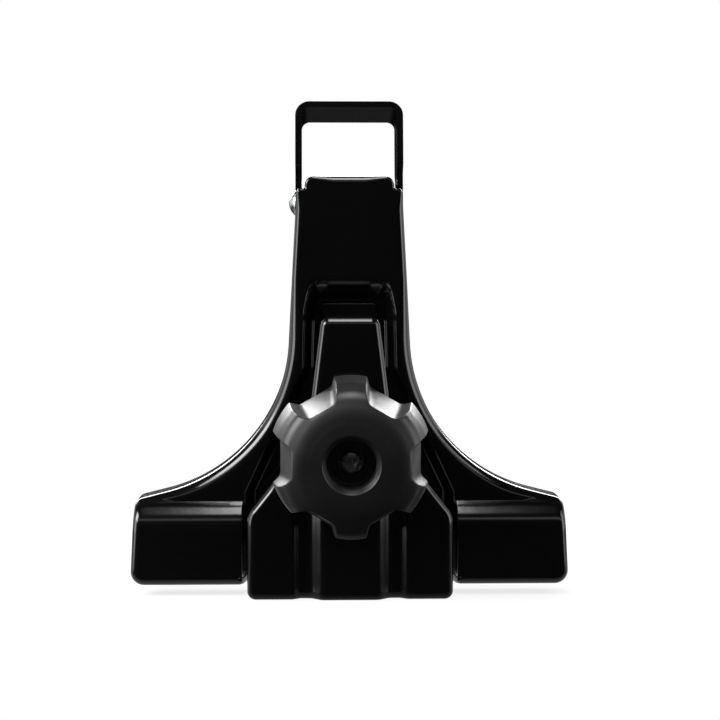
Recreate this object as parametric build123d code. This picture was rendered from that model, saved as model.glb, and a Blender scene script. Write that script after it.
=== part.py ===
from build123d import *
import os
from math import sin, cos, tan, acos, atan2, degrees, radians

os.makedirs("parts", exist_ok=True)

# Roof bar foot with a gutter clamp, in millimetres. X runs along the gutter, Y goes from the
# knob side towards the car, Z is up. The origin is the middle of the gutter seat, under the foot.

# Tower: one pressed sheet
SHEET = 2.5
SEAT_Z = 150.0
SEAT_HALF = 16.4
SHOULDER_Z = 145.6
SHOULDER_HALF = 19.4
FLARE_Z = 88.5
FLARE_HALF = 22.5
FLARE_R = 60.0
WING_ANGLE = 76.0
WING_HALF = 79.3
FOOT_HALF = WING_HALF + 1.7
FOOT_CORNER = 5.0
BAND_OUT = 7.0
BAND_TOP = 30.0
BAND_BEND = 10.5
CREASE = 3.0
BEND = 3.0
FLANGE_BEND = 3.0
BACK_TOP = 27.0
BACK_FOOT = 11.0
LEG_FRONT = 4.2
LEG_LOW = 131.0

# Channel pressed into the tower's face: half width and height of its corners at the face
CHANNEL = 7.5
CHANNEL_DRAFT = 4.0
CHANNEL_TOP = 113.0
CHANNEL_FOOT = 39.0
CHANNEL_R = 3.0
CHANNEL_RAMP = 8.0
MOUTH_R = 2.5
FLOOR_R = 2.0

# Clamp plate
PLATE_Y = -17.0
PLATE = 2.5
PLATE_TOP = 99.0
PLATE_HALF = 37.5
HOOK_LOW = -3.8
HOOK_BACK = -3.0
HEEL_TOP = 103.6
HEEL_HALF = 10.4
GROOVE = 3.5
RIB_HALF = 9.9
GROOVE_IN = RIB_HALF + 2.5
GROOVE_OUT = GROOVE_IN + 6.0
SIDE_STEP = 1.5
STEP_TOP = 46.0

# Bolt, washer and knob, all on one axis
BOLT_Z = 49.5
BOLT_R = 4.0
BOLT_END = -36.0
NECK = 8.0
WASHER_R = 11.0
WASHER = 1.6
KNOB_R = 29.0
KNOB_REAR = PLATE_Y - WASHER - 1.0
KNOB_FRONT = KNOB_REAR - 25.4
LOBES = 6
INSERT_R = 7.0
INSERT = 13.0
RUN = 0.05

# Loop over the bar and its cross pin
BAND = 2.2
LOOP_IN_HALF = 17.7
LOOP_HIGH = 24.0
LOOP_WIDE = 25.0
LEG_WIDE = 17.0
LOOP_R = 3.0
LEG_TOP = 153.0
PIN_Z = 140.5
PIN_Y = 14.5
PIN_R = 3.0
LEAN = 9.0
PIN_HEAD_R = 4.8
PIN_HEAD = 2.5

# Knob details
LOBE_HALF = 5.9
LOBE_HALF_FRONT = 5.0
SCALLOP_R = 25.1
SCALLOP_FRONT = 20.5
SCALLOP_CORNER = 4.5
RECESS_R = 10.2
HOLE_R = 8.7
HOLE = 12.0
HUB_R = 10.0
SLOT = 3.5


def at(x, z, y=0.0):
    return (x, y, z)


def both_sides(*right):
    """A face from its right half: the curves run from the centre line round to it again."""
    half = Curve() + list(right)
    return make_face(half + mirror(half, about=Plane.YZ))


def along_y(face, start, end):
    return extrude(Pos(0, start, 0) * face, amount=end - start, dir=(0, 1, 0))


def along_x(points, half):
    """A prism of a side profile given as (y, z) points."""
    face = make_face(Polyline(*[(-half, y, z) for y, z in points], close=True))
    return extrude(face, amount=2 * half, dir=(1, 0, 0))


def near(shape, *places):
    """The vertices nearest to the given places."""
    return [min(shape.vertices(), key=lambda v: (Vector(*v) - Vector(*p)).length) for p in places]


def corner(x, z, radius):
    """What rounding takes off a square corner at x, z: the outside of a quarter circle, all along Y."""
    cut = Box(radius, 100, radius) - Pos(-radius / 2, 0, -radius / 2) * Rot(90, 0, 0) * Cylinder(radius, 100)
    return Pos(x - radius / 2, 0, z - radius / 2) * cut


def both(shape):
    return shape + mirror(shape, about=Plane.YZ)


def bore(radius, length, x=0.0, y=0.0, z=0.0):
    """A cylinder along Y from y towards the car."""
    return Pos(x, y + length / 2, z) * Rot(90, 0, 0) * Cylinder(radius, length)


def tower_front():
    side = radians(degrees(atan2(FLARE_HALF - SHOULDER_HALF, SHOULDER_Z - FLARE_Z)))
    wing = radians(WING_ANGLE)
    centre = (FLARE_HALF + FLARE_R * cos(side), FLARE_Z + FLARE_R * sin(side))

    def on(angle):
        return at(centre[0] - FLARE_R * cos(angle), centre[1] - FLARE_R * sin(angle))

    low = on(wing)
    tip = at(WING_HALF, low[2] - (WING_HALF - low[0]) / tan(wing))
    return both_sides(
        Polyline(at(0, 0), at(FOOT_HALF, 0), tip, low),
        ThreePointArc(low, on((side + wing) / 2), on(side)),
        Polyline(on(side), at(SHOULDER_HALF, SHOULDER_Z), at(SEAT_HALF, SHOULDER_Z),
                 at(SEAT_HALF, SEAT_Z), at(0, SEAT_Z)),
    )


def tower_outline():
    face = tower_front()
    return fillet([v for v in face.vertices() if abs(v.Z - SHOULDER_Z) < 0.01 and abs(v.X) > SEAT_HALF + 1], 1.5)


def tower_side():
    """The side profile: seat, face, lower band and foot, with the back edge sloping to the foot."""
    start = acos(1 - BAND_OUT / BAND_BEND)
    middle = BAND_TOP - BAND_BEND * sin(start)

    def bend(angle):
        return at(0, middle + BAND_BEND * sin(angle), BAND_BEND * (1 - cos(angle)) - BAND_OUT)

    face = make_face(
        Line(at(0, SEAT_Z), at(0, BAND_TOP)) + ThreePointArc(bend(start), bend(start / 2), bend(0))
        + Polyline(bend(0), at(0, 0, -BAND_OUT), at(0, 0, BACK_FOOT), at(0, SEAT_Z, BACK_TOP), at(0, SEAT_Z)))
    face = fillet(near(face, at(0, SEAT_Z), at(0, 0, -BAND_OUT)), BEND)
    return fillet(near(face, at(0, BAND_TOP)), CREASE)


def channel(grow):
    """The pressed-in channel as a solid; grow moves its walls outwards for the sheet's other side."""
    face = [(14.4, CHANNEL_TOP), (17, 101), (17.6, 79), (CHANNEL_FOOT, 33.5), (CHANNEL_FOOT, -4)]
    slope = CHANNEL_DRAFT / CHANNEL
    lean = (1 + slope ** 2) ** 0.5

    def section(y, extra):
        back = max(y, 0) / CHANNEL
        points = [(x - CHANNEL_DRAFT * back, z - (CHANNEL_RAMP * back if i == 0 else 0))
                  for i, (x, z) in enumerate(face)]
        half = [at(x, z) for x, z in points]
        outline = make_face(Polyline(*half, *[at(-x, z) for x, _, z in reversed(half)], close=True))
        if extra:
            outline = offset(outline, extra, kind=Kind.INTERSECTION)
        return Pos(0, y, 0) * outline

    front = section(-BAND_OUT - 3, grow)
    mouth = section(0, grow * lean)
    floor = Pos(0, grow, 0) * section(CHANNEL, grow * (lean - slope))
    solid = loft([front, mouth, floor], ruled=True)
    boxes = [(e, e.bounding_box()) for e in solid.edges()]
    ramp = [e for e, b in boxes if b.size.Y > CHANNEL / 2 and b.min.Y > -0.01 and b.max.Z > CHANNEL_TOP - 3]
    return fillet(ramp, CHANNEL_R + grow)


def rounded_mouth(solid):
    """The bends where the face turns into the channel, and where its walls meet its floor."""
    level = 0.01
    boxes = [(e, e.bounding_box()) for e in solid.edges() if abs(e.center().X) < CHANNEL_FOOT + level]
    face = [e for e, b in boxes if b.max.Y < level and b.min.Y > -level and b.min.Z > BAND_TOP
            and b.max.Z < CHANNEL_TOP + level and max(b.max.X, -b.min.X) < CHANNEL_FOOT + 1]
    solid = fillet(face, MOUTH_R)
    boxes = [(e, e.bounding_box()) for e in solid.edges() if abs(e.center().X) < CHANNEL_FOOT]
    floor = [e for e, b in boxes if abs(b.max.Y - CHANNEL) < level and b.size.Y < level and b.size.Z > 1]
    return fillet(floor, FLOOR_R)


def tower_form(inset):
    """The tower's outside for 0, and the inside of its sheet for the sheet's thickness."""
    front = tower_outline()
    side = tower_side()
    back = 30
    if inset:
        front = offset(front, -inset)
        side = offset(side, -inset)
        side = side + make_face(Polyline(at(0, SEAT_Z - inset, 15), at(0, inset, 0),
                                         at(0, inset, back), at(0, SEAT_Z - inset, back), close=True))
    solid = along_y(front, -BAND_OUT, back) & extrude(Pos(-90, 0, 0) * side, amount=180, dir=(1, 0, 0))
    if not inset:
        face = along_y(front, 0, back)
        face = fillet([e for e in face.edges().group_by(Axis.Y)[0] if e.center().Z > 1], FLANGE_BEND)
        plan = Pos(0, back / 2 - BAND_OUT, 0) * Box(2 * FOOT_HALF, back, 400)
        plan = fillet(plan.edges().filter_by(Axis.Z).group_by(Axis.Y)[0], BEND + 1)
        band = Pos(0, 0.5 - back / 2, BAND_TOP / 2) * Box(400, back, BAND_TOP)
        solid = (solid & face) + (solid & plan & band)
    solid -= both(corner(SEAT_HALF - inset, SEAT_Z - inset, 3.2 - inset / 2))
    foot = Pos(0, 0, inset) * Rot(180, 0, 0) * corner(FOOT_HALF - inset, 0, FOOT_CORNER - inset)
    solid -= both(foot)
    solid -= channel(inset)
    if not inset:
        solid = rounded_mouth(solid)
    leg = Pos(0, LEG_FRONT - inset + 20, LEG_LOW - inset + 20) * Box(200, 40, 40)
    return solid - (leg - Box(2 * (SEAT_HALF - inset), 400, 400))


def tower():
    sheet = tower_form(0) - tower_form(SHEET)
    sheet -= Pos(0, CHANNEL, BOLT_Z) * Box(NECK, 20, NECK)
    sheet -= Pos(0, PIN_Y, PIN_Z) * Rot(0, 90, 0) * Cylinder(PIN_R, 100)
    return sheet


def carriage_bolt():
    """Domed head behind the channel's floor, square neck in its square hole, chamfered end."""
    back = CHANNEL + SHEET
    bolt = bore(BOLT_R, back - BOLT_END, y=BOLT_END, z=BOLT_Z)
    bolt = chamfer(bolt.edges().sort_by(Axis.Y)[0], 0.7)
    bolt += Pos(0, back - SHEET / 2 - 0.5, BOLT_Z) * Box(NECK, SHEET + 1, NECK)
    ball = 16.0
    head = Pos(0, back + 4.2 - ball, BOLT_Z) * Sphere(ball)
    return bolt + (head & bore(9.0, 10, y=back, z=BOLT_Z))


def cross_pin():
    """A domed head at the left, a shaft through flanges and legs, ending flush in the right leg."""
    left = -LOOP_IN_HALF - BAND
    shaft = Pos((LOOP_IN_HALF + BAND - 0.1 + left) / 2, PIN_Y, PIN_Z) * Rot(0, 90, 0) * Cylinder(
        PIN_R, LOOP_IN_HALF + BAND - 0.1 - left)
    ball = PIN_HEAD_R ** 2 / (2 * PIN_HEAD) + PIN_HEAD / 2
    dome = Pos(left - PIN_HEAD + ball, PIN_Y, PIN_Z) * Sphere(ball)
    return shaft + (dome & Pos(left - 5, PIN_Y, PIN_Z) * Box(10, 30, 30))


def bar_loop():
    """A band bent over the bar, narrower below the seat, leaning back on its pin."""
    top = SEAT_Z + LOOP_HIGH
    low = PIN_Z - LEG_WIDE / 2
    outer = Pos(0, PIN_Y, (top + BAND + low) / 2) * Box(2 * (LOOP_IN_HALF + BAND), LOOP_WIDE, top + BAND - low)
    inner = Pos(0, PIN_Y, (top + low) / 2 - 5) * Box(2 * LOOP_IN_HALF, 2 * LOOP_WIDE, top - low + 10)
    outer = fillet(outer.edges().filter_by(Axis.Y).group_by(Axis.Z)[-1], LOOP_R + BAND)
    inner = fillet(inner.edges().filter_by(Axis.Y).group_by(Axis.Z)[-1], LOOP_R)
    loop = outer - inner
    profile = make_face(
        Line(at(0, LEG_TOP - 30, PIN_Y - LEG_WIDE / 2), at(0, LEG_TOP - 30, PIN_Y + LEG_WIDE / 2))
        + Polyline(at(0, LEG_TOP - 30, PIN_Y + LEG_WIDE / 2), at(0, LEG_TOP - 3, PIN_Y + LEG_WIDE / 2),
                   at(0, LEG_TOP, PIN_Y + LOOP_WIDE / 2), at(0, top + 5, PIN_Y + LOOP_WIDE / 2),
                   at(0, top + 5, PIN_Y - LOOP_WIDE / 2), at(0, LEG_TOP, PIN_Y - LOOP_WIDE / 2),
                   at(0, LEG_TOP - 3, PIN_Y - LEG_WIDE / 2), at(0, LEG_TOP - 30, PIN_Y - LEG_WIDE / 2)))
    profile = fillet(near(profile, at(0, LEG_TOP, PIN_Y - LOOP_WIDE / 2), at(0, LEG_TOP, PIN_Y + LOOP_WIDE / 2)), 2)
    loop &= extrude(Pos(-40, 0, 0) * profile, amount=80, dir=(1, 0, 0))
    ends = Pos(0, PIN_Y, PIN_Z - 5) * Box(100, 40, 10) - Pos(0, PIN_Y, PIN_Z) * Rot(0, 90, 0) * Cylinder(
        LEG_WIDE / 2, 100)
    loop -= ends
    loop -= Pos(0, PIN_Y, PIN_Z) * Rot(0, 90, 0) * Cylinder(PIN_R + RUN, 100)
    pin = Axis((0, PIN_Y, PIN_Z), (1, 0, 0))
    return loop.rotate(pin, -LEAN)


def plate_form(inset):
    """The clamp plate's outside for 0, and the inside of its sheet for the sheet's thickness."""
    back = 12
    front = both_sides(Polyline(at(0, HOOK_LOW), at(PLATE_HALF, HOOK_LOW), at(PLATE_HALF, 27), at(26, 41.5),
                                at(14.5, 66), at(HEEL_HALF, PLATE_TOP), at(0, PLATE_TOP)))
    front = fillet([v for v in front.vertices() if 26 < v.Z < 70], 8)
    side = [(PLATE_TOP, back), (PLATE_TOP, PLATE_Y), (HOOK_LOW, PLATE_Y), (HOOK_LOW, back)]
    side = make_face(Polyline(*[at(0, z, y) for z, y in side], close=True))
    side = fillet(near(side, at(0, PLATE_TOP, PLATE_Y), at(0, HOOK_LOW, PLATE_Y)), 4.5)
    if inset:
        front = offset(front, -inset)
        side = offset(side, -inset) + make_face(Polyline(
            at(0, PLATE_TOP - inset, 0), at(0, HOOK_LOW + inset, 0),
            at(0, HOOK_LOW + inset, back + 5), at(0, PLATE_TOP - inset, back + 5), close=True))
    solid = along_y(front, PLATE_Y, back + 5) & extrude(Pos(-60, 0, 0) * side, amount=120, dir=(1, 0, 0))
    if not inset:
        edges = [e for e in solid.edges() if e.bounding_box().max.Y < PLATE_Y + 0.01
                 and e.bounding_box().size.Z > 0.5]
        solid = fillet(edges, 2.5)
    grooves = make_face(Polyline(
        (RIB_HALF - inset / 2, PLATE_Y - 2, 0), (RIB_HALF - inset / 2, PLATE_Y, 0),
        (GROOVE_IN - inset / 2, PLATE_Y + GROOVE, 0), (GROOVE_OUT + inset / 2, PLATE_Y + GROOVE, 0),
        (GROOVE_OUT + 2 + inset / 2, PLATE_Y + SIDE_STEP, 0), (PLATE_HALF + 20, PLATE_Y + SIDE_STEP, 0),
        (PLATE_HALF + 20, PLATE_Y - 2, 0), close=True))
    grooves = extrude(Pos(0, 0, HOOK_LOW - 5) * grooves, amount=STEP_TOP + 10, dir=(0, 0, 1))
    wedge = along_x([(PLATE_Y - 2, HOOK_LOW - 5), (PLATE_Y - 2, STEP_TOP),
                     (PLATE_Y + 4, STEP_TOP - 13), (PLATE_Y + 4, HOOK_LOW - 5)], PLATE_HALF + 30)
    if inset:
        grooves = Pos(0, inset, 0) * grooves
        wedge = Pos(0, inset, 0) * wedge
    return solid - both(grooves & wedge)


def clamp_plate():
    sheet = plate_form(0) - plate_form(PLATE)
    front = [(PLATE_TOP, 12), (PLATE_TOP, PLATE_Y - 3), (HOOK_LOW - 3, PLATE_Y - 3), (HOOK_LOW - 3, HOOK_BACK),
             (HOOK_LOW + PLATE, HOOK_BACK), (HOOK_LOW + PLATE, PLATE_Y + GROOVE + PLATE + 0.2),
             (20, PLATE_Y + GROOVE + PLATE + 0.2), (42, -3), (PLATE_TOP - PLATE, -3), (PLATE_TOP - PLATE, 12)]
    sheet &= along_x([(y, z) for z, y in front], 70)
    heel = Pos(0, CHANNEL - PLATE / 2, (PLATE_TOP - PLATE + HEEL_TOP) / 2) * Box(
        2 * HEEL_HALF, PLATE, HEEL_TOP - PLATE_TOP + PLATE)
    heel = fillet(heel.edges().filter_by(Axis.Y).group_by(Axis.Z)[-1], 1.5)
    heel = fillet([e for e in heel.edges().group_by(Axis.Y)[0] if e.center().Z > PLATE_TOP], 0.7)
    sheet -= Pos(0, CHANNEL + 20, PLATE_TOP) * Box(100, 40, 20)
    sheet += heel
    slot = bore(BOLT_R + 1, 20, y=PLATE_Y - 5, z=BOLT_Z)
    slot = slot + Pos(0, 0, -SLOT) * slot + Pos(0, PLATE_Y + 5, BOLT_Z - SLOT / 2) * Box(2 * BOLT_R + 2, 20, SLOT)
    return sheet - slot


def thrust_washer():
    washer = bore(WASHER_R, WASHER, y=PLATE_Y - WASHER, z=BOLT_Z)
    return washer - bore(BOLT_R + 0.35, 10, y=PLATE_Y - 5, z=BOLT_Z)


def scallop():
    """What is cut between two lobes: its sides run parallel to the lobes' middles."""
    half = radians(180 / LOBES)
    length = KNOB_REAR - KNOB_FRONT
    spare = 0.2

    def section(share):
        floor = SCALLOP_R + (SCALLOP_FRONT - SCALLOP_R) * share
        lobe = LOBE_HALF + (LOBE_HALF_FRONT - LOBE_HALF) * share
        side = (floor * sin(half) - lobe) / cos(half)
        wide = side + KNOB_R * tan(half)
        y = KNOB_REAR - length * share
        return make_face(Polyline((-side, y, floor), (side, y, floor), (wide, y, floor + KNOB_R),
                                  (-wide, y, floor + KNOB_R), close=True))

    cutter = loft([section(-spare), section(1 + spare)], ruled=True)
    low = [e for e in cutter.edges() if e.bounding_box().size.Y > length and e.center().Z < KNOB_R]
    return fillet(low, SCALLOP_CORNER)


def knob():
    """Domed body with six scallops that lean in towards the front, hollow at the back."""
    y = KNOB_FRONT
    rear = KNOB_REAR
    profile = make_face(
        Polyline((0, rear, 0), (KNOB_R - 1, rear, 0), (KNOB_R, rear - 1, 0), (KNOB_R - 0.6, rear - 15, 0))
        + ThreePointArc((KNOB_R - 0.6, rear - 15, 0), (KNOB_R - 4.3, y + 4.0, 0), (KNOB_R - 11, y + 1.0, 0))
        + ThreePointArc((KNOB_R - 11, y + 1.0, 0), (KNOB_R - 15, y + 0.3, 0), (RECESS_R, y, 0))
        + Polyline((RECESS_R, y, 0), (HOLE_R, y + 2, 0), (HOLE_R, y + HOLE, 0), (0, y + HOLE, 0), (0, rear, 0)))
    body = Pos(0, 0, BOLT_Z) * revolve(profile, Axis.Y)
    cutter = scallop()
    for i in range(LOBES):
        body -= Pos(0, 0, BOLT_Z) * Rot(0, (i + 0.5) * 360 / LOBES, 0) * cutter
    hollow = bore(KNOB_R - 9, 8, y=rear - 5, z=BOLT_Z) - bore(HUB_R, 20, y=rear - 10, z=BOLT_Z)
    body -= hollow
    body += bore(HUB_R, PLATE_Y - WASHER - rear, y=rear, z=BOLT_Z)
    body -= bore(BOLT_R + 0.5, -y, y=y - 5, z=BOLT_Z)
    return body - bore(INSERT_R, INSERT, y=PLATE_Y - WASHER - INSERT, z=BOLT_Z)


def knob_insert():
    sleeve = bore(INSERT_R, INSERT, y=PLATE_Y - WASHER - INSERT, z=BOLT_Z)
    return sleeve - bore(BOLT_R + RUN, -KNOB_FRONT, y=KNOB_FRONT - 5, z=BOLT_Z)


PARTS = {
    "tower": tower,
    "bar_loop": bar_loop,
    "cross_pin": cross_pin,
    "carriage_bolt": carriage_bolt,
    "clamp_plate": clamp_plate,
    "thrust_washer": thrust_washer,
    "knob": knob,
    "knob_insert": knob_insert,
}
for name, make in PARTS.items():
    solids = make().solids()
    print(name, len(solids), [round(s.volume) for s in solids])
    export_step(Compound(solids) if len(solids) > 1 else solids[0], f"parts/{name}.step")
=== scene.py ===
# %% [markdown]
# # A roof bar foot, dressed over its measured solids
#
# The foot is a pressed steel tower that stands in a car's rain gutter. A loop over its flat top
# holds a roof bar, and a hooked plate, drawn in by a lobed hand knob, grips the gutter's edge.
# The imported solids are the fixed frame. Here each one gets its finish, and those whose edges and
# curves need more detail than a solid model carries are worked out again as smooth surfaces.

# %% The frame, and the box of the solids
import math

import bmesh
import bpy
import mathutils
import numpy as np
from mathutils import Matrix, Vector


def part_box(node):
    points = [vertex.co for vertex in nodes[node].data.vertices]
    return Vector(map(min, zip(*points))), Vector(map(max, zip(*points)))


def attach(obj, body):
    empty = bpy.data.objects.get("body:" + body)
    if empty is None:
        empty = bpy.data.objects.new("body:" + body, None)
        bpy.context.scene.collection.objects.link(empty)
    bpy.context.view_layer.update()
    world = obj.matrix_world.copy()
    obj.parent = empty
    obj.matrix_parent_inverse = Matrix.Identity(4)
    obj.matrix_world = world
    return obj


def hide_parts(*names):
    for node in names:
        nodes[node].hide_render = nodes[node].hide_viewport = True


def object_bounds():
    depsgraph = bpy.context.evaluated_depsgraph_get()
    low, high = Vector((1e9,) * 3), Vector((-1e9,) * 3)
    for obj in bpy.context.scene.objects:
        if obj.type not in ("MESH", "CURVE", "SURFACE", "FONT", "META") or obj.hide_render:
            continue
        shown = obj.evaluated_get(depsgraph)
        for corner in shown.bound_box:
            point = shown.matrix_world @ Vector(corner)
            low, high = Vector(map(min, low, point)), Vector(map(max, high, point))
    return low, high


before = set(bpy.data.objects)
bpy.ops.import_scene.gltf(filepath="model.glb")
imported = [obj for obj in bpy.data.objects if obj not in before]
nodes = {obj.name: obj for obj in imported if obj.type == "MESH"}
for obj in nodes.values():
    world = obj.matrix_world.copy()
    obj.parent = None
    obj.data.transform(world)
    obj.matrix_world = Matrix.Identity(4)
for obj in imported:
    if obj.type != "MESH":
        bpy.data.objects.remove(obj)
solid_box = [list(corner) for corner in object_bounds()]
print("nodes:", sorted(nodes))
print("solids' box (m):", solid_box)

# %% [markdown]
# ## Surfaces from numpy arrays
#
# Every new piece is a grid of points: one parameter runs along a profile, the other round an axis
# or along a path. The grid is computed as whole arrays, and its quads are index arrays too, so
# even a surface with ninety thousand points takes a moment.

# %% A grid of points becomes a mesh
MM = 0.001
JOIN = 1e-7  # metres: points closer than this become one


def surface(name, grid, wrap_u=False, wrap_v=False, hole=None):
    """A mesh from grid[u, v] = (x, y, z) in mm.

    Quads join neighbours, and a wrapped direction closes. hole tells, for the middle of every
    quad, whether it is left out. The sum of a . (b x c) / 6 over the triangles is a closed
    mesh's signed volume, and its sign shows for an open pan too whether the mesh is inside out.
    Then every quad is turned over. Points that fall together, as at a pole, become one.
    """
    nu, nv = grid.shape[:2]
    index = np.arange(nu * nv).reshape(nu, nv)
    if wrap_u:
        index = np.vstack([index, index[:1]])
    if wrap_v:
        index = np.hstack([index, index[:, :1]])
    corners = [index[:-1, :-1], index[1:, :-1], index[1:, 1:], index[:-1, 1:]]
    quads = np.stack(corners, -1).reshape(-1, 4)
    points = grid.reshape(-1, 3) * MM
    if hole:
        quads = quads[~hole(points[quads].mean(1) / MM)]
    a, b, c, d = (points[quads[:, i]] for i in range(4))
    halves = (a, np.cross(b, c)), (a, np.cross(c, d))
    volume = sum(np.einsum("ij,ij->i", *half) for half in halves).sum() / 6
    if volume < 0:
        quads = quads[:, ::-1]
    mesh = bpy.data.meshes.new(name)
    mesh.from_pydata(points, [], quads)
    joined = bmesh.new()
    joined.from_mesh(mesh)
    bmesh.ops.remove_doubles(joined, verts=joined.verts, dist=JOIN)
    joined.to_mesh(mesh)
    joined.free()
    mesh.polygons.foreach_set("use_smooth", np.ones(len(mesh.polygons), bool))
    mesh.update()
    piece = bpy.data.objects.new(name, mesh)
    bpy.context.scene.collection.objects.link(piece)
    print(f"{name}: {len(quads)} quads")
    return piece


print("surface() joins points closer than", JOIN / MM, "mm")

# %% [markdown]
# ## Rounded profiles
#
# Moulded and turned parts have no sharp corner. A profile is given by its few corners, each with
# its own radius. One helper replaces every corner by an arc and spaces points evenly, and another
# carries a profile round an axis.

# %% A profile with rounded corners
STRAIGHT = 1e-3  # radians: a turn smaller than this is none
ARC_DENSITY = 1.5  # an arc gets half as many points again as a straight run


def rounded(corners, radii, step, closed=True):
    """Points along a polyline whose corners become arcs.

    At a corner with unit directions u in and v out, the arc of radius r starts r tan(turn / 2)
    before the corner and ends as far after it. Points follow at about the given step.
    """
    corners = np.asarray(corners, float)
    n = len(corners)
    line = []
    for i in range(n):
        before, here, after = corners[i - 1], corners[i], corners[(i + 1) % n]
        if not closed and i in (0, n - 1):
            line.append(here[None])
            continue
        u = (here - before) / np.linalg.norm(here - before)
        v = (after - here) / np.linalg.norm(after - here)
        turn = math.acos(float(np.clip(u @ v, -1, 1)))
        if radii[i] <= 0 or turn < STRAIGHT:
            line.append(here[None])
            continue
        start = here - u * radii[i] * math.tan(turn / 2)
        side = v - u * (u @ v)
        side /= np.linalg.norm(side)
        count = max(4, int(turn * radii[i] / step * ARC_DENSITY) + 2)
        t = np.linspace(0, turn, count)[:, None]
        line.append(start + radii[i] * (np.sin(t) * u + (1 - np.cos(t)) * side))
    line = np.vstack(line)
    if closed:
        line = np.vstack([line, line[:1]])
    runs = np.diff(line, axis=0)
    counts = np.maximum(1, np.round(np.linalg.norm(runs, axis=1) / step).astype(int))
    pieces = [line[i] + runs[i] * (np.arange(k) / k)[:, None] for i, k in enumerate(counts)]
    points = np.vstack(pieces)
    return points if closed else np.vstack([points, line[-1:]])


def around(radius, angle, level):
    """Points round the Y axis: x = radius sin(angle), y = level, z = radius cos(angle)."""
    x = radius * np.sin(angle)
    return np.stack([x, np.broadcast_to(level, x.shape), radius * np.cos(angle)], -1)


square = rounded([(0, 0), (10, 0), (10, 10), (0, 10)], [2] * 4, 1)
print("a 10 mm square with 2 mm corners has", len(square), "points")

# %% [markdown]
# ## Finishes
#
# A finish is a small node tree. One function adds any node with its settings and links, and one
# turns a written sRGB colour to the linear values that the shader wants.

# %% Colours and nodes
MIX_A, MIX_B, MIX_OUT = 6, 7, 2  # the colour sockets of a Mix node
NOISE = {"From Min": 0.3, "From Max": 0.7}  # most of a noise's values lie between these


def linear(code):
    """sRGB hex to linear: c / 12.92 below 0.04045, else ((c + 0.055) / 1.055) ** 2.4."""
    c = np.array([int(code[i:i + 2], 16) for i in (1, 3, 5)]) / 255
    return (*np.where(c <= 0.04045, c / 12.92, ((c + 0.055) / 1.055) ** 2.4), 1.0)


def connect(tree, node, inputs):
    """Each input gets a value, or is linked from (node, output)."""
    for key, value in dict(inputs).items():
        if isinstance(value, tuple) and isinstance(value[0], bpy.types.Node):
            tree.links.new(value[0].outputs[value[1]], node.inputs[key])
        else:
            node.inputs[key].default_value = value


def add(tree, kind, inputs=(), **settings):
    """A new node of any kind, with its settings and its inputs."""
    node = tree.nodes.new(kind)
    for key, value in settings.items():
        setattr(node, key, value)
    connect(tree, node, inputs)
    return node


def finish(name):
    """An empty material with its shader, its output and object coordinates in metres."""
    material = bpy.data.materials.new(name)
    material.use_nodes = True
    tree = material.node_tree
    tree.nodes.clear()
    shader = add(tree, "ShaderNodeBsdfPrincipled")
    add(tree, "ShaderNodeOutputMaterial", {"Surface": (shader, "BSDF")})
    place = add(tree, "ShaderNodeTexCoord")
    return material, tree, shader, place


print("#808080 is linear", round(float(linear("#808080")[0]), 4))

# %% [markdown]
# ### Gloss black paint on pressed steel
#
# The tower, the loop and the clamp plate are dipped or powder coated in gloss black. The film
# flows out almost like glass, so what the eye reads is its reflections: thin bright lines on each
# bend. A real film keeps a faint waviness of a few millimetres, the orange peel, which softens
# those lines a little. Its refractive index is that of a resin, about 1.5.

# %% Gloss black paint
PEEL, CLOUD = 0.004, 0.03  # metres: the orange peel, and how far apart the gloss varies


def gloss_black_paint():
    """A black film whose bump is the peel, and whose tint and gloss vary a little."""
    material, tree, shader, place = finish("gloss_black_paint_on_steel")
    peel = add(tree, "ShaderNodeTexNoise",
               {"Vector": (place, "Object"), "Scale": 1 / PEEL, "Detail": 2.0})
    cloud = add(tree, "ShaderNodeTexNoise",
                {"Vector": (place, "Object"), "Scale": 1 / CLOUD, "Detail": 3.0})
    rough = add(tree, "ShaderNodeMapRange",
                {"Value": (cloud, "Fac"), **NOISE, "To Min": 0.12, "To Max": 0.17})
    tint = add(tree, "ShaderNodeMix",
               {0: (cloud, "Fac"), MIX_A: linear("#060607"), MIX_B: linear("#0a0a0b")},
               data_type="RGBA")
    bump = add(tree, "ShaderNodeBump",
               {"Height": (peel, "Fac"), "Strength": 0.25, "Distance": 0.00006})
    connect(tree, shader, {"Base Color": (tint, MIX_OUT), "Roughness": (rough, 0),
                           "Normal": (bump, "Normal"), "IOR": 1.5})
    return material


black_paint = gloss_black_paint()
print("made", black_paint.name)

# %% [markdown]
# ### Textured nylon of the knob
#
# The knob is moulded in black nylon in a spark-eroded mould, whose fine grit leaves a satin skin
# that reads as dark graphite under a soft light. The grit is about 0.15 mm. It is drawn at
# 0.35 mm so that it shows at this distance.

# %% Knob nylon
GRIT, PATCH = 0.00035, 0.012  # metres: the mould's grit, and how far apart the gloss varies


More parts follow.
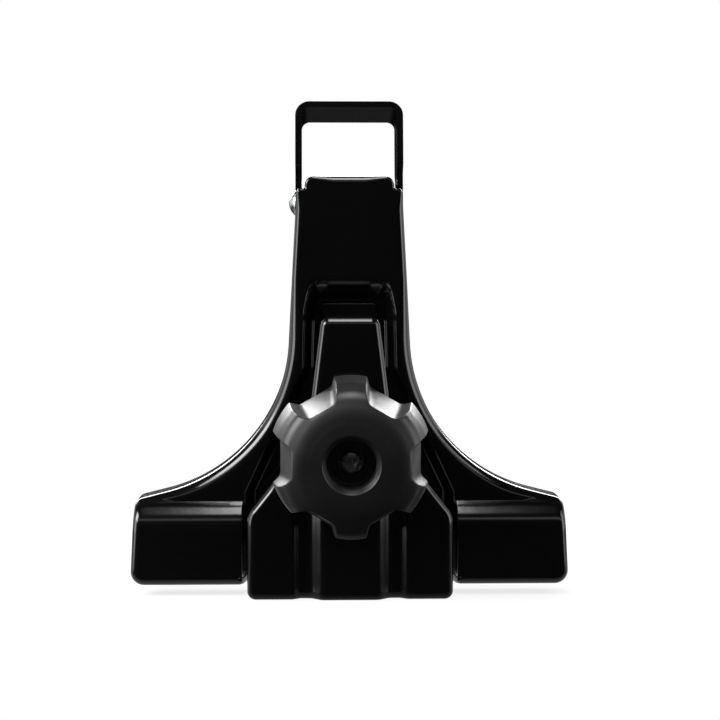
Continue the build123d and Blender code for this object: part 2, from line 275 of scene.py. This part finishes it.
def knob_nylon():
    """A dark plastic whose bump and tint are the grit, with a little sheen from its edges."""
    material, tree, shader, place = finish("spark_textured_black_nylon")
    grit = add(tree, "ShaderNodeTexNoise",
               {"Vector": (place, "Object"), "Scale": 1 / GRIT, "Detail": 2.0})
    patch = add(tree, "ShaderNodeTexNoise",
                {"Vector": (place, "Object"), "Scale": 1 / PATCH, "Detail": 2.0})
    tint = add(tree, "ShaderNodeMix",
               {0: (grit, "Fac"), MIX_A: linear("#0a0a0b"), MIX_B: linear("#161618")},
               data_type="RGBA")
    rough = add(tree, "ShaderNodeMapRange",
                {"Value": (patch, "Fac"), **NOISE, "To Min": 0.37, "To Max": 0.45})
    bump = add(tree, "ShaderNodeBump",
               {"Height": (grit, "Fac"), "Strength": 0.5, "Distance": 0.00005})
    connect(tree, shader, {"Base Color": (tint, MIX_OUT), "Roughness": (rough, 0),
                           "Normal": (bump, "Normal"), "IOR": 1.53,
                           "Sheen Weight": 0.15, "Sheen Roughness": 0.25})
    return material


nylon = knob_nylon()
print("made", nylon.name)

# %% [markdown]
# ### Zinc plating
#
# The pin, bolt, washer and threaded sleeve are bright zinc: a metal with a fine crystalline
# spangle, neither mirror nor matt.

# %% Zinc
CRYSTAL = 0.0008  # metres: a crystal of the plating


def bright_zinc():
    """A metal whose tint, gloss and bump all follow its crystals."""
    material, tree, shader, place = finish("bright_zinc_on_steel")
    crystal = add(tree, "ShaderNodeTexNoise",
                  {"Vector": (place, "Object"), "Scale": 1 / CRYSTAL, "Detail": 3.0})
    rough = add(tree, "ShaderNodeMapRange",
                {"Value": (crystal, "Fac"), **NOISE, "To Min": 0.24, "To Max": 0.36})
    tint = add(tree, "ShaderNodeMix",
               {0: (crystal, "Fac"), MIX_A: linear("#a9abae"), MIX_B: linear("#c6c8ca")},
               data_type="RGBA")
    bump = add(tree, "ShaderNodeBump",
               {"Height": (crystal, "Fac"), "Strength": 0.08, "Distance": 0.00004})
    connect(tree, shader, {"Base Color": (tint, MIX_OUT), "Roughness": (rough, 0),
                           "Normal": (bump, "Normal"), "Metallic": 1.0})
    return material


zinc = bright_zinc()
print("made", zinc.name)

# %% [markdown]
# ## The solids take their finishes
#
# The loop, the washer and the knob's sleeve keep the mesh of their solids, which is round and
# smooth enough. The other five solids take their finish too, and are drawn again below.

# %% Finishes on the solids
for node, material in {"tower": black_paint, "clamp_plate": black_paint, "bar_loop": black_paint,
                       "cross_pin": zinc, "carriage_bolt": zinc, "thrust_washer": zinc,
                       "knob": nylon, "knob_insert": zinc}.items():
    mesh = nodes[node].data
    mesh.materials.clear()
    mesh.materials.append(material)
    print(node, "->", material.name)

# %% [markdown]
# ## The hand knob
#
# Six lobes round a domed body. The real one is moulded, so every edge is a soft radius. Seen
# along its axis the shape is a star: a hexagon of six flat scallop floors, joined to six lobes
# with parallel sides. In polar form both are simple, and a smooth maximum makes the hollow
# radius between them, as a smooth minimum makes the rounded edge towards the dome.

# %% The knob's outline in polar form
BOLT_Z = 49.5
front_y, rear_y = (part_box("knob")[i][1] / MM for i in (0, 1))
HUB_OUT = 1.0  # the hub stands out behind the lobes
KNOB_R, KNOB_FRONT, KNOB_REAR = 29.4, front_y, rear_y - HUB_OUT
FLOOR_REAR, FLOOR_FRONT = 25.1, 20.5
LOBE_REAR, LOBE_FRONT = 5.9, 5.0
LOBES, LOBE_TURN = 6, np.pi / 3
SCALLOP_SOFT, RIM_SOFT = 6.5, 0.9


def smooth_min(a, b, k):
    """The smaller of a and b, blended over a width k.

    It is min - h^2 / (4 k), with h = max(k - |a - b|, 0).
    """
    h = np.maximum(k - np.abs(a - b), 0)
    return np.minimum(a, b) - h * h / (4 * k)


def lobed_radius(angle, y):
    """The radius at an angle from a lobe's middle, in the plane y.

    share runs from 0 at the rear to 1 at the front. The scallop's floor, at distance f, gives
    f / cos(30 deg - angle), and the lobe's side, at half width h, gives h / sin(angle). Near the
    lobe's middle, where the sine goes to 0, it is held at 0.05.
    """
    share = (KNOB_REAR - y) / (KNOB_REAR - KNOB_FRONT)
    floor = FLOOR_REAR + (FLOOR_FRONT - FLOOR_REAR) * share
    half = LOBE_REAR + (LOBE_FRONT - LOBE_REAR) * share
    angle = np.abs(angle)
    floor_r = floor / np.cos(LOBE_TURN / 2 - angle)
    side_r = half / np.maximum(np.sin(angle), 0.05)
    return -smooth_min(-floor_r, -side_r, SCALLOP_SOFT)


def knob_angles(count):
    """The columns' angles round the knob, and each one's angle from its lobe's middle.

    Half a lobe has count columns, and 55 of 100 stand 9 to 18 degrees from the lobe's middle,
    where its side is.
    """
    half = np.interp(np.arange(count) / count, [0, 0.2, 0.75, 1], np.radians([0, 9, 18, 30]))
    pitch = np.sort(np.concatenate([half, LOBE_TURN - half[:0:-1], [LOBE_TURN / 2]]))
    from_lobe = np.where(pitch > LOBE_TURN / 2, pitch - LOBE_TURN, pitch)
    lobe = np.arange(LOBES)[:, None] * LOBE_TURN
    return (lobe + pitch[None]).ravel(), np.tile(from_lobe, LOBES)


print("rear half width of a lobe:", LOBE_REAR, "mm, scallop floor at", FLOOR_REAR, "mm")

# %% The knob's surface
SLEEVE_R, SLEEVE_IN = 7.0, 12
HUB_R, BORE_R = 10.0, 4.5
HOLLOW_R, HOLLOW_IN = 19.6, 5
RECESS_R, RECESS_IN = 8.7, 12
SCALLOPS_FROM = 12.5  # inside this radius the lobes' outline has no say


def knob_profile():
    """Rows of radius, y and corner radius: the rear, the dome, the recess and the bore."""
    front, rear, r = KNOB_FRONT, KNOB_REAR, KNOB_R
    rows = np.array([
        (SLEEVE_R, rear + HUB_OUT, 0.3), (HUB_R, rear + HUB_OUT, 0.5),
        (HUB_R, rear - HOLLOW_IN, 0.8), (HOLLOW_R, rear - HOLLOW_IN, 1.5),
        (HOLLOW_R, rear, 0.8), (r, rear, 1.0),
        (r - 1.9, front + 11, 14.0), (r - 4.8, front + 4.0, 7.0),
        (r - 11, front + 1.0, 14.0), (r - 15.4, front + 0.3, 14.0),
        (10.2, front + 0.02, 0.4), (RECESS_R, front + 2, 0.6),
        (RECESS_R, front + RECESS_IN, 0.8), (BORE_R, front + RECESS_IN, 0.2),
        (BORE_R, rear - SLEEVE_IN, 0.2), (SLEEVE_R, rear - SLEEVE_IN, 0.2)])
    return rounded(rows[:, :2], rows[:, 2], 0.5)


def knob_grid():
    """The profile turned round its axis, its radius held under the lobes' outline."""
    profile = knob_profile()
    radius, level = profile[:, :1], profile[:, 1:]
    angle, from_lobe = knob_angles(30)
    held = smooth_min(radius, lobed_radius(from_lobe[None], level), RIM_SOFT)
    return around(np.where(radius > SCALLOPS_FROM, held, radius), angle, level) + (0, 0, BOLT_Z)


knob = surface("knob_body", knob_grid(), wrap_u=True, wrap_v=True)
knob.data.materials.append(nylon)
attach(knob, "knob")
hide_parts("knob")

# %% [markdown]
# ## Pressed sheet
#
# The tower and the clamp plate are pressings, like shallow pans turned face down: a face, a soft
# bend all round it and walls that go back. The same bend runs round every corner, so a pan is
# made from its outline. Points run inwards from it to a spine, and outwards over the bend. The
# face may be pressed in and out as it likes, and Solidify then gives the sheet its thickness.

# %% A pan from its outline
SHEET = 2.5
BEND_ROWS, WALL_ROWS = 10, 5
CREEP = 0.03  # how much the length along the outline counts beside its height


def pan(half, radii, step, bend, front, wall, spine, spread):
    """A pressed pan from the right half of its outline, from the bottom's middle to the top's.

    half and radii are the outline's corners, and step is the distance of its points.
    bend(edge) is the bend's radius, front(x, z) how far back the face lies, wall(edge, level)
    the rows behind the bend, and spread(foot, rim) the shares of the way from spine to bend.

    For a point P of the outline with outward normal n, the bend of radius b at angle t is
    P - n b (1 - sin t), and b (1 - cos t) behind the face. Inside the bend the point runs
    straight to its foot on the spine, the middle line between two heights. The feet follow the
    outline's height plus a little of its length, so that no two fall together.
    """
    edge = rounded(half, radii, step, closed=False)
    along = np.gradient(edge, axis=0)
    normal = np.stack([along[:, 1], -along[:, 0]], 1) / np.linalg.norm(along, axis=1)[:, None]
    normal[[0, -1]] = [(0, -1), (0, 1)]
    radius = bend(edge)[:, None]
    steps = np.linalg.norm(np.diff(edge, axis=0), axis=1)
    run = edge[:, 1] + CREEP * np.concatenate([[0], np.cumsum(steps)])
    foot = np.stack([0 * run, np.interp(run, [run[0], run[-1]], spine)], 1)
    # The left half is the right one turned over and run backwards, without its two ends.
    flip = np.array([-1, 1])
    edge, normal, foot = (np.vstack([side, side[-2:0:-1] * flip]) for side in (edge, normal, foot))
    radius = np.vstack([radius, radius[-2:0:-1]])
    rim = edge - normal * radius
    flat = foot + (rim - foot) * spread(foot, rim)[..., None]
    turn = np.linspace(0, np.pi / 2, BEND_ROWS)[1:, None, None]
    place = np.vstack([flat, edge - normal * radius * (1 - np.sin(turn))])
    level = front(place[..., 0], place[..., 1])
    level[len(flat):] += (radius * (1 - np.cos(turn)))[..., 0]
    sides, depths = wall(edge, level[-1])
    place, level = np.vstack([place, sides]), np.vstack([level, depths])
    return np.stack([place[..., 0], level, place[..., 1]], -1)


def constant(value):
    """A bend or a depth that is the same at every point of the outline."""
    return lambda edge: value + 0 * edge[:, 0]


def even(count):
    """Shares of the way from the spine to the bend, all alike."""
    shares = np.linspace(0, 1, count)[:, None]
    return lambda foot, rim: np.broadcast_to(shares, (count, len(rim)))


def straight_back(depth):
    """Walls that go straight back from the bend to depth(edge)."""
    def wall(edge, level):
        share = np.linspace(1 / WALL_ROWS, 1, WALL_ROWS)[:, None]
        back = np.maximum(depth(edge), level)
        return np.repeat(edge[None], WALL_ROWS, 0), level + (back - level) * share
    return wall


def thicken(piece):
    """Solidify gives the sheet its thickness, backwards from its outer face."""
    sheet = piece.modifiers.new("sheet", "SOLIDIFY")
    sheet.thickness, sheet.offset = SHEET * MM, -1


print("sheet of", SHEET, "mm")

# %% [markdown]
# ## The tower
#
# One sheet carries everything: the narrow seat for the bar, the face that flares down to two
# wings, the channel pressed into it for the plate and the bolt, and the band along the foot that
# comes forward to the gutter's edge. The channel fades into the face with wide radii, as a deep
# pressing must, or the sheet would tear there.

# %% The tower's measures
SEAT_HALF, SEAT_Z, SHOULDER_Z = 16.4, 150.0, 145.6
BAND_OUT, BAND_BEND, BAND_LOW, BAND_TOP = 7.0, 10.5, 20.1, 30.0
BAND_SOFT, BAND_CUT = 1.5, 1.6
CHANNEL, CHANNEL_TOP, CHANNEL_WALL, CHANNEL_RAMP = 7.5, 113.0, 5, 9
LEG_LOW, LEG_FRONT = 131.0, 4.2
FLANGE_LOW, FLANGE_TOP = 11, 27
BEND, TIGHT_BEND, FLARE_BEND = 2.8, 1.2, 2.0
TOWER_STEP, TOWER_COLUMNS = 1.4, 80
TOWER_HALF = [(0, 0), (81, 0), (79.3, 30.69), (24.9, 44.26), (19.4, SHOULDER_Z),
              (SEAT_HALF, SHOULDER_Z), (SEAT_HALF, SEAT_Z), (0, SEAT_Z)]
TOWER_RADII = [0, 5, 2.9, 60, 1.5, 0.4, 3.2, 0]
print("seat", 2 * SEAT_HALF, "mm wide at", SEAT_Z, "mm")


# %% The tower's face
def soft_step(t):
    """3 t^2 - 2 t^3: from 0 to 1, level at both ends."""
    return t * t * (3 - 2 * t)


def channel_half(z):
    """Half the channel's width at a height."""
    return np.interp(z, [-4, 33.5, 79, 101, 113], [39, 39, 17.6, 17, 14.4])


def tower_face(x, z):
    """How far back the face lies.

    The band follows an arc: (b (1 - cos a)) - out with sin a = (z - low) / b, and it ends at
    the channel by a soft step. The channel's depth is a soft step of the smooth minimum of the
    shares that its wall, 5 mm wide, and its ramp at the top, 9 mm long, have gone down.
    """
    inside = channel_half(z) - np.abs(x)
    sine = np.clip((z - BAND_LOW) / BAND_BEND, 0, 0.999)
    band = smooth_min(BAND_BEND * (1 - np.sqrt(1 - sine ** 2)) - BAND_OUT, 0 * z, BAND_SOFT)
    band = np.where(z > BAND_TOP + 2, 0, band)
    cut = soft_step(np.clip(inside / BAND_CUT + 0.5, 0, 1))
    down = smooth_min(inside / CHANNEL_WALL + 0.1, (CHANNEL_TOP - z) / CHANNEL_RAMP, 0.5)
    return band * (1 - cut) + CHANNEL * soft_step(np.clip(down, 0, 1))


def tower_spread(foot, rim):
    """Shares that gather the columns on the channel's wall.

    A third of them stands on its 5 mm and an eighth on the 2.5 mm beyond it. Between knots
    (u, x) the columns are even.
    """
    wide = np.abs(rim[:, 0])
    edge = np.minimum(channel_half(foot[:, 1]), wide * 0.86)
    inner = np.maximum(edge - CHANNEL_WALL, edge * 0.6)
    beyond = np.minimum(edge + 2.5, (edge + wide) / 2)
    u = np.linspace(0, 1, TOWER_COLUMNS)[:, None]
    knots = [(0, 0 * wide), (0.2, inner), (0.52, edge), (0.64, beyond), (1, wide)]
    x = 0 * wide
    for (u0, x0), (u1, x1) in zip(knots, knots[1:]):
        x = x + (x1 - x0) * np.clip((u - u0) / (u1 - u0), 0, 1)
    return np.where(wide > 0.01, x / np.maximum(wide, 0.01), u)


print("channel", CHANNEL, "mm deep,", 2 * float(channel_half(79)), "mm wide at 79 mm")


# %% The tower's walls and bend
def tower_wall(edge, level):
    """Walls that go back, with a notch at each shoulder for the loop's leg.

    Above the notch's foot and outside the seat's width, the wall turns inwards at 4.2 mm to the
    seat's side and only then goes back.
    """
    x, z = edge[:, 0], edge[:, 1]
    notch = (z > LEG_LOW) & (np.abs(x) > SEAT_HALF + 0.05)
    inner = np.stack([np.where(notch, np.sign(x) * SEAT_HALF, x), z], 1)
    depth = np.maximum(FLANGE_LOW + (FLANGE_TOP - FLANGE_LOW) * z / SEAT_Z, level + 0.7)
    ledge = np.maximum(level + 0.2, LEG_FRONT)
    rows = [(edge, (level + ledge) / 2), (edge, ledge), (inner, ledge + 0.01)]
    shares = (0.15, 0.3, 0.5, 0.7, 0.85, 1)
    rows += [(inner, ledge + (depth - ledge) * share) for share in shares]
    return np.stack([place for place, _ in rows]), np.stack([y for _, y in rows])


def tower_bend(edge):
    """2.8 mm, wider along the flare, and tighter at the shoulders and the seat's corners."""
    x, z = np.abs(edge[:, 0]), edge[:, 1]
    flare = np.minimum(np.clip((77 - x) / 20, 0, 1), np.interp(z, [27, 32, 90, 112], [0, 1, 1, 0]))
    seat = np.interp(x, [6, 13.2], [2.6, TIGHT_BEND])
    side = np.interp(z, [138, 144], [BEND, TIGHT_BEND])
    return np.where(z > SEAT_Z - 0.01, seat, side) + FLARE_BEND * flare


tower_grid = pan(TOWER_HALF, TOWER_RADII, TOWER_STEP, tower_bend, tower_face, tower_wall,
                 (4, 145), tower_spread)
tower = surface("pressed_tower", tower_grid, wrap_v=True)
thicken(tower)
tower.data.materials.append(black_paint)
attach(tower, "base")
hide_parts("tower")

# %% [markdown]
# ## The clamp plate
#
# The hooked plate is a smaller pan. Its lower end turns under as the hook, and the heel, a small
# upright tab, stands on its top wall and bears on the channel's floor.

# %% The plate's outline and face
PLATE_Y, PLATE_LOW, PLATE_TOP, PLATE_BEND = -17.0, -3.8, 99.0, 3.0
PLATE_HALF = [(0, PLATE_LOW), (37.5, PLATE_LOW), (37.5, 27), (26, 41.5), (14.5, 66),
              (10.4, PLATE_TOP), (0, PLATE_TOP)]
PLATE_RADII = [0, 3.2, 8, 8, 8, 3.2, 0]
GROOVE_DEPTH, EDGE_RISE = 3.5, 2.0
RIBS_TOP, RIBS_SLOPE = 41.7, 0.46


def plate_front(x, z):
    """The face: a middle rib, a groove on each side and edges set back a little.

    A step from a to b is t = (|x| - a) / (b - a), held between 0 and 1 by smooth bounds, so
    that its slope is flat in the middle. The ribs fade upwards: the depth is the lesser of the
    steps' sum and a slope that starts at 41.7 mm.
    """
    def step(a, b):
        t = (np.abs(x) - a) / (b - a)
        return smooth_min(-smooth_min(-t, 0 * t, 0.3), 0 * t + 1, 0.3)
    pressed = GROOVE_DEPTH * step(10.4, 14.2) - EDGE_RISE * step(18.4, 20.8)
    limit = np.maximum(RIBS_TOP - z, 0) * RIBS_SLOPE
    return PLATE_Y + np.maximum(smooth_min(pressed, limit, 1.0), 0)


print("plate from", PLATE_LOW, "to", PLATE_TOP, "mm")

# %% The plate's walls, the slot for the bolt, and the heel
HOOK_BACK, SIDE_BACK, TOP_BACK = -3.0, -10.8, 6.5
SLOT_LOW, SLOT_R = 46.0, 5.0
HEEL_HALF = [(0, 96.5), (10.4, 96.5), (10.4, 103.6), (0, 103.6)]
HEEL_FRONT, HEEL_BACK = 5.0, 7.5


def plate_back(edge):
    """How far back the walls reach: the hook and the top go far, the sides widen upwards."""
    side = np.interp(edge[:, 1], [20, 42], [SIDE_BACK, HOOK_BACK])
    side = np.where(edge[:, 1] > PLATE_TOP - 0.1, TOP_BACK, side)
    return np.where(edge[:, 1] < PLATE_LOW + 0.1, HOOK_BACK, side)


def bolt_slot(middle):
    """True where a point lies in the slot for the bolt: within 5 mm of a short upright line."""
    off = middle[:, 2] - np.clip(middle[:, 2], SLOT_LOW, BOLT_Z)
    return (np.hypot(middle[:, 0], off) < SLOT_R) & (middle[:, 1] < PLATE_Y + SHEET)


plate_grid = pan(PLATE_HALF, PLATE_RADII, 0.9, constant(PLATE_BEND), plate_front,
                 straight_back(plate_back), (4, 92), even(64))
plate = surface("pressed_clamp_plate", plate_grid, wrap_v=True, hole=bolt_slot)
thicken(plate)
heel_grid = pan(HEEL_HALF, [0, 0.9, 1.8, 0], 0.5, constant(0.8), lambda x, z: HEEL_FRONT + 0 * x,
                straight_back(constant(HEEL_BACK)), (98.5, 101.5), even(8))
heel_back = heel_grid[:1] + (0, HEEL_BACK - HEEL_FRONT, 0)
heel = surface("plate_heel", np.vstack([heel_grid, heel_back]), wrap_v=True)
for piece in (plate, heel):
    piece.data.materials.append(black_paint)
    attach(piece, "clamp")
    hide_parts("clamp_plate")

# %% [markdown]
# ## The carriage bolt
#
# A round-headed bolt whose square neck sits in the channel's square hole, so that it can't turn
# while the knob is wound along it. Its thread is rolled: a screw line pressed between two flat
# dies. The solid only has a plain shaft, and here it gets the real M8 thread, 1.25 mm a turn.

# %% The bolt's surface
BOLT_END, NECK_Y, HEAD_Y, HEAD_TOP = -36.0, 7.5, 10.0, 14.2
SHAFT_R, THREAD_PITCH, THREAD_DEPTH = 4.0, 1.25, 0.6134
NECK_HALF, NECK_CORNER = 4.0, 5.3
HEAD_R, HEAD_BACK_R, DOME_R, DOME_BALL, DOME_HIGH = 9.0, 8.6, 8.7, 16, 4.15


def thread(angle, y, outer, pitch):
    """The radius of a 60 degree thread: outer minus depth times a flattened triangle wave.

    The phase y / pitch - angle / 2 pi runs from 0 to 1 between two crests. The wave is
    2 |phase - 1/2|, stretched and clipped so that crest and root are narrow flats.
    """
    phase = (y / pitch - angle / (2 * np.pi)) % 1
    wave = np.clip((np.abs(2 * phase - 1) - 0.125) / 0.75, 0, 1)
    return outer - THREAD_DEPTH * pitch * wave


def bolt_grid(columns=96):
    """Rows along the axis: chamfered end, thread, square neck with rounded corners, domed head."""
    angle = np.arange(columns) * 2 * np.pi / columns
    rows = np.arange(BOLT_END, NECK_Y, THREAD_PITCH / 10)
    y = np.concatenate([[BOLT_END, BOLT_END], rows])[:, None]
    chamfer = SHAFT_R - 0.7 + np.clip(y - BOLT_END, 0, 1)
    radius = np.minimum(thread(angle, y, SHAFT_R, THREAD_PITCH), chamfer)
    radius[0] = 0
    square = NECK_HALF / np.maximum(np.abs(np.cos(angle)), np.abs(np.sin(angle)))
    square = smooth_min(square, np.full(columns, NECK_CORNER), 0.6)
    slope = np.linspace(0, math.acos(1 - DOME_HIGH / DOME_BALL), 24)[:, None]
    dome_y, dome_r = HEAD_TOP - DOME_BALL * (1 - np.cos(slope)), DOME_BALL * np.sin(slope)
    keep = (dome_r < DOME_R)[:, 0]
    dome_y, dome_r = dome_y[keep][::-1], dome_r[keep][::-1]
    ring = np.ones(columns)
    radius = np.vstack([radius, square, square, HEAD_BACK_R * ring, HEAD_R * ring, HEAD_R * ring,
                        dome_r * ring])
    y = np.vstack([y, NECK_Y, HEAD_Y, HEAD_Y, HEAD_Y + 0.3, dome_y[0] - 0.2, dome_y])
    return around(radius, angle, y) + (0, 0, BOLT_Z)


bolt = surface("carriage_bolt_body", bolt_grid(), wrap_v=True)
bolt.data.materials.append(zinc)
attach(bolt, "base")
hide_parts("carriage_bolt")

# %% [markdown]
# ## The cross pin
#
# A rivet-like pin that is pushed through the tower's flanges, with the loop's legs on its ends.
# Its head was formed by a round die, so it is a shallow dome: part of a sphere.

# %% The pin's surface
PIN_Y, PIN_Z, PIN_R = 14.5, 140.5, 3.0
PIN_HEAD_R, PIN_HEAD, HEAD_X, PIN_END = 4.8, 2.5, -19.9, 19.8


def pin_grid(columns=64):
    """The dome, radius R sin a at R (1 - cos a) from its top, then its flat back and the shaft."""
    ball = PIN_HEAD_R ** 2 / (2 * PIN_HEAD) + PIN_HEAD / 2
    a = np.linspace(0, math.asin(PIN_HEAD_R / ball), 20)
    dome = np.stack([ball * np.sin(a), HEAD_X - PIN_HEAD + ball * (1 - np.cos(a))], 1)
    corners = [(PIN_HEAD_R - 0.3, HEAD_X + 0.1), (PIN_R, HEAD_X + 0.1), (PIN_R, PIN_END),
               (0, PIN_END)]
    profile = np.vstack([dome, rounded(corners, [0, 0, 0.4, 0], 0.8, closed=False)])
    angle = np.arange(columns) * 2 * np.pi / columns
    return around(profile[:, :1], angle, profile[:, 1:])[..., [1, 0, 2]] + (0, PIN_Y, PIN_Z)


pin = surface("cross_pin_body", pin_grid(), wrap_v=True)
pin.data.materials.append(zinc)
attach(pin, "base")
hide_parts("cross_pin")

# %% [markdown]
# ## Camera
#
# The photograph was taken from a little below the seat's height, almost square to the face, from
# about 0.6 m. Its place was worked out from the corners of the foot.

# %% Camera
CAMERA_AT = (-0.01006, -0.6, 0.12574)
LOOKS_DOWN, LOOKS_RIGHT = math.radians(4.11), math.radians(1.326)

camera = bpy.data.objects.new("camera", bpy.data.cameras.new("camera"))
bpy.context.scene.collection.objects.link(camera)
camera.location = CAMERA_AT
camera.rotation_euler = (math.pi / 2 - LOOKS_DOWN, 0, -LOOKS_RIGHT)
camera.data.sensor_width = 36
camera.data.lens = 81.7
camera.data.clip_start = 0.01
bpy.context.scene.camera = camera
bpy.context.scene.view_settings.view_transform = "Standard"
print("camera at", tuple(camera.location))

# %% [markdown]
# ## Studio
#
# A gloss black object is lit by what it reflects. A white room and a few soft lamps draw the
# bright lines on its bends. Black cards, which only reflections see, stand on the camera's side,
# below, behind and above it, and leave its flat faces black, which is how such things are
# photographed. The floor is a plain white sheet that fades out round the foot and in front of it.

# %% Panels, and the rays that see the background
FLOOR_HALF, FLOOR_FRONT_Y, FLOOR_BACK_Y = 0.5, -0.02, 0.6
CARD_HALF, CARD_NEAR, CARD_FAR = 2.4, -1.3, 1.6


def upright(half, y, low, high):
    """The corners of an upright rectangle across the view."""
    return [(-half, y, low), (half, y, low), (half, y, high), (-half, y, high)]


def lying(half, near, far, z):
    """The corners of a level rectangle."""
    return [(-half, near, z), (half, near, z), (half, far, z), (-half, far, z)]


def panel(name, corners, colour):
    """A flat matt piece of the studio, with its node tree, shader, coordinates and output."""
    mesh = bpy.data.meshes.new(name)
    mesh.from_pydata(corners, [], [(0, 1, 2, 3)])
    piece = bpy.data.objects.new(name, mesh)
    bpy.context.scene.collection.objects.link(piece)
    material, tree, shader, place = finish(name)
    connect(tree, shader, {"Base Color": linear(colour), "Roughness": 1.0})
    mesh.materials.append(material)
    output = next(n for n in tree.nodes if n.bl_idname == "ShaderNodeOutputMaterial")
    return tree, shader, place, output


def background_rays(tree):
    """1 for rays that see the white background: from the camera, mirrored or through glass."""
    path = add(tree, "ShaderNodeLightPath")
    two = add(tree, "ShaderNodeMath", {0: (path, "Is Camera Ray"), 1: (path, "Is Glossy Ray")},
              operation="MAXIMUM")
    return add(tree, "ShaderNodeMath", {0: (two, 0), 1: (path, "Is Transmission Ray")},
               operation="MAXIMUM")


floor_z = solid_box[0][2]
print("floor at", floor_z, "m")

# %% The floor
WHITENED = 0.75  # how far the floor is lifted to white for rays that see the background

tree, shader, place, output = panel(
    "white_floor", lying(FLOOR_HALF, FLOOR_FRONT_Y, FLOOR_BACK_Y, floor_z), "#f6f6f6")
white = add(tree, "ShaderNodeEmission", {"Color": (1, 1, 1, 1), "Strength": 1.0})
share = add(tree, "ShaderNodeMath", {0: (background_rays(tree), 0), 1: WHITENED},
            operation="MULTIPLY")
paper = add(tree, "ShaderNodeMixShader", {0: (share, 0), 1: (shader, "BSDF"), 2: (white, 0)})
reach = add(tree, "ShaderNodeVectorMath", {0: (place, "Object")}, operation="LENGTH")
fade = add(tree, "ShaderNodeMapRange",
           {"Value": (reach, "Value"), "From Min": 0.11, "From Max": 0.28})
split = add(tree, "ShaderNodeSeparateXYZ", {"Vector": (place, "Object")})
ahead = add(tree, "ShaderNodeMapRange",
            {"Value": (split, "Y"), "From Min": 0.0, "From Max": FLOOR_FRONT_Y})
faded = add(tree, "ShaderNodeMath", {0: (fade, 0), 1: (ahead, 0)}, operation="MAXIMUM")
clear = add(tree, "ShaderNodeBsdfTransparent")
edge = add(tree, "ShaderNodeMixShader", {0: (faded, 0), 1: (paper, 0), 2: (clear, 0)})
connect(tree, output, {"Surface": (edge, 0)})
print("floor made")

# %% The black cards
cards = {"front": upright(CARD_HALF, CARD_NEAR, -3, 1.0),
         "low": lying(CARD_HALF, CARD_NEAR, CARD_FAR, -0.2),
         "back": upright(CARD_HALF / 2, CARD_FAR, -0.2, 0.4),
         "ceiling": lying(CARD_HALF, CARD_NEAR, CARD_FAR, 1.3)}
for name, card in cards.items():
    tree, shader, _, output = panel("black_card_" + name, card, "#050505")
    seen = add(tree, "ShaderNodeLightPath")
    clear = add(tree, "ShaderNodeBsdfTransparent")
    shown = add(tree, "ShaderNodeMixShader",
                {0: (seen, "Is Glossy Ray"), 1: (clear, "BSDF"), 2: (shader, "BSDF")})
    connect(tree, output, {"Surface": (shown, 0)})
print("cards:", sorted(cards))

# %% The white room
ROOM_LIGHT = 0.35  # the room's own light on the object, beside 1 for the background

world = bpy.data.worlds.new("white_room")
bpy.context.scene.world = world
world.use_nodes = True
tree = world.node_tree
tree.nodes.clear()
level = add(tree, "ShaderNodeMix", {0: (background_rays(tree), 0), 2: ROOM_LIGHT, 3: 1.0})
glow = add(tree, "ShaderNodeBackground", {"Color": (1, 1, 1, 1), "Strength": (level, 0)})
add(tree, "ShaderNodeOutputWorld", {"Surface": (glow, "Background")})
print("world:", world.name)

# %% Lamps
AIM = (0, 0, 0.08)
NEARLY_UP = (0, 0.01, 1.0)  # upright but for a touch, so that no lamp shines along it


def lamp(name, place, size, radiance):
    """A soft rectangular lamp turned to face the foot; its power is pi x area x radiance."""
    light = bpy.data.objects.new(name, bpy.data.lights.new(name, "AREA"))
    light.data.shape = "RECTANGLE"
    light.data.size, light.data.size_y = size
    light.data.energy = math.pi * size[0] * size[1] * radiance
    towards = np.array(AIM) - np.array(place)
    towards = towards / np.linalg.norm(towards)
    side = np.cross(towards, NEARLY_UP)
    side /= np.linalg.norm(side)
    up = np.cross(side, towards)
    turn = mathutils.Matrix(np.stack([side, up, -towards], 1).tolist())
    light.matrix_world = mathutils.Matrix.Translation(place) @ turn.to_4x4()
    bpy.context.scene.collection.objects.link(light)


lamp("overhead", (0.0, -0.14, 0.75), (0.2, 0.42), 9)
lamp("behind", (0.0, 0.95, 0.47), (1.4, 0.36), 13)
lamp("upper_left", (-0.5, -0.2, 0.42), (0.3, 0.3), 12)
lamp("left_box", (-0.62, -0.16, 0.25), (0.28, 0.7), 4.5)
lamp("right_box", (0.62, -0.16, 0.25), (0.28, 0.7), 2.4)
